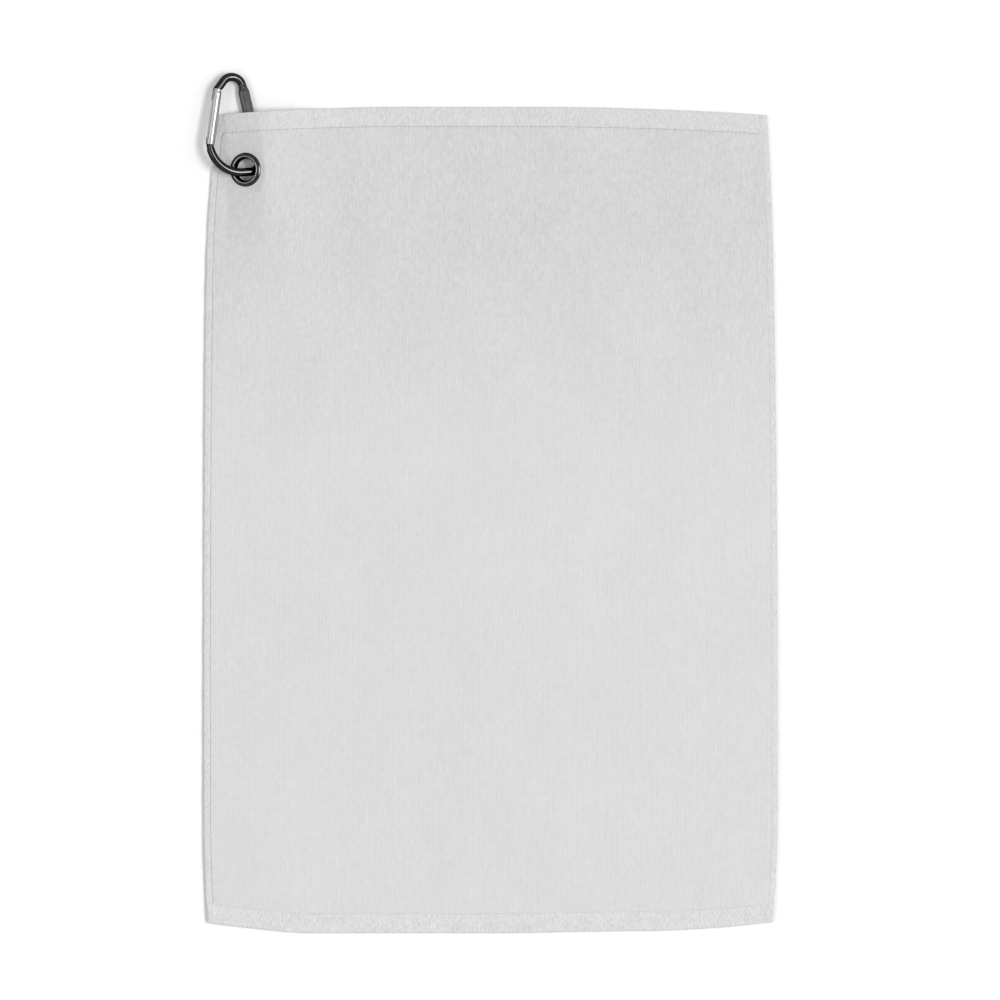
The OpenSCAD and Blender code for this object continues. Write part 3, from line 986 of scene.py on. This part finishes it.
def clip_tongues():
    """The hinge tongue in the gate's slot and the nose that the gate shuts on."""
    tip = RIVET_Y + TONGUE_END
    tongue = block((-TONGUE_W / 2, -1, -TONGUE_T / 2), (TONGUE_W / 2, tip, TONGUE_T / 2))
    cut(tongue, rod(RIVET_R + 0.05, -5, 5, at=(0, RIVET_Y, 0)))
    bevel(tongue, 0.15)
    tongue.name = "hinge_tongue"
    finished(tongue, "clip", [BLACK], (), 35, gate_place())
    nose_at = Matrix.Translation((0, (GATE_L + GATE_GAP) * MM, 0))
    nose = block((-1.2, -NOSE_L, -TONGUE_T / 2), (1.6, 0.5, TONGUE_T / 2))
    bevel(nose, 0.2)
    nose.name = "nose_tongue"
    finished(nose, "clip", [BLACK], (), 35, gate_place() @ nose_at)


def gate():
    """The tube that swings inwards: forked over the hinge tongue, with a socket for the nose."""
    profile = [(0.0, -0.5), (GATE_R, -0.5)]
    for y in (1.55, 1.7, 1.85, 2.0):
        profile.append((GATE_R - (0.16 if 1.6 < y < 1.95 else 0.0), y))
    profile += [(GATE_R, GATE_L - 0.3), (GATE_R - 0.08, GATE_L - 0.08), (GATE_R - 0.3, GATE_L)]
    profile.append((0.0, GATE_L))
    tube = solid("gate_tube", lambda shape: turned(shape, profile))
    cut(tube, solid("gate_bar", gate_bar), "INTERSECT")
    slot_l = RIVET_Y + TONGUE_END + 1.2
    cut(tube, block((-5, -1, -SLOT_T / 2), (5, slot_l, SLOT_T / 2)))
    cut(tube, rod(BORE_R, RIVET_Y + 1, RIVET_Y + 1 + SPRING_HOLE_L, "Y"))
    socket = GATE_L - NOSE_L - 0.6
    cut(tube, rod(BORE_R, socket, GATE_L + 1, "Y"))
    cut(tube, block((0, socket, -SLOT_T / 2), (5, GATE_L + 1, SLOT_T / 2)))
    cut(tube, rod(RIVET_R + 0.02, -5, 5, at=(0, RIVET_Y, 0)))
    for side in (-1, 1):
        low, high = sorted((side * (GATE_R - 0.35), side * 5))
        cut(tube, rod(RIVET_HEAD_R + 0.1, low, high, at=(0, RIVET_Y, 0)))
    bevel(tube, 0.1, 50, 2)
    finished(tube, "gate", [CHROME], ["clip_gate"], 35, gate_place())


def turned(shape, profile, steps=72):
    """A closed solid turned about Y from (radius, y) pairs that start and end on the axis."""
    rings = []
    for r, y in profile[1:-1]:
        ring = []
        for k in range(steps):
            a = 2 * math.pi * k / steps
            ring.append(shape.verts.new((r * math.cos(a), y, r * math.sin(a))))
        rings.append(ring)
    for a, b in zip(rings, rings[1:]):
        for k in range(steps):
            shape.faces.new((a[k], a[(k + 1) % steps], b[(k + 1) % steps], b[k]))
    shape.faces.new(rings[0])
    shape.faces.new(rings[-1])


def gate_bar(shape):
    """A bar along the gate, square at its outer corner and round at its inner one."""
    r = RIVET_Y - 2 * HINGE_GAP
    side = 4.0
    outline = [(side, HINGE_GAP), (0.0, HINGE_GAP)]
    for a in np.linspace(0.12, math.pi / 2, 20):
        outline.append((-r * math.sin(a), RIVET_Y - r * math.cos(a)))
    outline += [(-r, GATE_L + 2), (side, GATE_L + 2)]
    low = [shape.verts.new((x, y, -side)) for x, y in outline]
    high = [shape.verts.new((x, y, side)) for x, y in outline]
    for k in range(len(outline)):
        n = (k + 1) % len(outline)
        shape.faces.new((low[k], low[n], high[n], high[k]))
    shape.faces.new(low)
    shape.faces.new(high)


def rivet():
    """The hinge pin, with a low domed head on either side."""
    top = GATE_R + 0.05
    r = RIVET_HEAD_R
    head = [(r, top - 0.4), (r, top - 0.18), (r - 0.12, top - 0.05), (r * 0.55, top + 0.06)]
    head.append((0.06, top + 0.1))
    profile = [(RIVET_R, 0.0), (RIVET_R, top - 0.4)] + head
    profile += [(r, -z) for r, z in head[::-1]] + [(RIVET_R, -top + 0.4)]
    points, faces = lathe(profile, 48)
    at = gate_place() @ Matrix.Translation((0, RIVET_Y * MM, 0))
    piece("hinge_rivet", points, faces, "gate", [STEEL], ["gate_rivet"], 30, at)


def plunger_and_spring():
    """The plunger that presses on the hinge tongue, and the coil spring behind it."""
    plunger_l = 2.4
    wire = 0.25
    gap = 0.05
    turns = 8
    per_turn = 24
    r = BORE_R - gap
    start = RIVET_Y + TONGUE_END + 0.1
    profile = [(0.05, 0.0), (r - 0.5, 0.0), (r - 0.15, 0.1), (r, 0.4), (r, plunger_l - 0.15)]
    profile += [(r - 0.15, plunger_l), (0.05, plunger_l)]
    points, faces = lathe(profile, 48, "Y")
    at = gate_place() @ Matrix.Translation((0, start * MM, 0))
    piece("plunger", points, faces, "plunger", [STEEL], ["gate_plunger"], 30, at)
    spring_y = start + plunger_l + wire + gap
    spring_l = RIVET_Y + 1 + SPRING_HOLE_L - spring_y - wire - gap
    coil_r = BORE_R - wire - 0.15
    rings = []
    w = np.arange(10) * 2 * math.pi / 10
    out = coil_r + wire * np.cos(w)
    for k in range(turns * per_turn + 1):
        a = 2 * math.pi * k / per_turn
        along = spring_l * k / (turns * per_turn) + wire * np.sin(w)
        rings.append(np.stack([out * math.cos(a), along, out * math.sin(a)], axis=1))
    points, faces = loops(rings)
    at = gate_place() @ Matrix.Translation((0, spring_y * MM, 0))
    spring = piece("coil_spring", points, faces, "gate", [STEEL], ["gate_spring"], 30, at)
    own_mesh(spring)


# ---- Ground, light and camera ----


def floor():
    """A plain pale ground, just under the cloth."""
    mesh = bpy.data.meshes.new("floor")
    half = 30
    corners = [(-half, -half, 0), (half, -half, 0), (half, half, 0), (-half, half, 0)]
    mesh.from_pydata(corners, [], [(0, 1, 2, 3)])
    obj = bpy.data.objects.new("floor", mesh)
    bpy.context.scene.collection.objects.link(obj)
    obj.location.z = -0.0002
    mesh.materials.append(floor_paint())


def softbox(name, tilt, half_x, half_y, radiance):
    """A far rectangular light: its tilt to the right and its half sizes are angles in degrees."""
    away = 12.0
    tilt = math.radians(tilt)
    data = bpy.data.lights.new(name, "AREA")
    data.shape = "RECTANGLE"
    data.size = 2 * away * math.tan(math.radians(half_x))
    data.size_y = 2 * away * math.tan(math.radians(half_y))
    data.energy = radiance * math.pi * data.size * data.size_y
    obj = bpy.data.objects.new(name, data)
    obj.location = (away * math.sin(tilt), 0, away * math.cos(tilt))
    obj.rotation_euler = (0, tilt, 0)
    obj.visible_camera = False
    bpy.context.scene.collection.objects.link(obj)


def light():
    """Even fill from all round, a key light on the right, and weaker ones on either side."""
    world = bpy.data.worlds.new("studio")
    world.use_nodes = True
    world.node_tree.nodes["Background"].inputs["Color"].default_value = (1, 1, 1, 1)
    world.node_tree.nodes["Background"].inputs["Strength"].default_value = 0.47
    bpy.context.scene.world = world
    softbox("key", 28, 6, 15, 14)
    softbox("side", 50, 10, 10, 2.5)
    softbox("second", -35, 6, 20, 4)


def camera():
    """Straight down over the towel, with its length upright."""
    view_w = 0.6098
    height = 12.0
    data = bpy.data.cameras.new("camera")
    data.sensor_width = 36
    data.lens = 36 * height / view_w
    data.clip_end = 60
    obj = bpy.data.objects.new("camera", data)
    obj.location = (0.0055, 0.0018, height)
    bpy.context.scene.collection.objects.link(obj)
    bpy.context.scene.camera = obj
    bpy.context.scene.view_settings.view_transform = "Standard"


floor()
clip_rod()
clip_tongues()
gate()
rivet()
plunger_and_spring()
towel()
eyelet()
light()
camera()
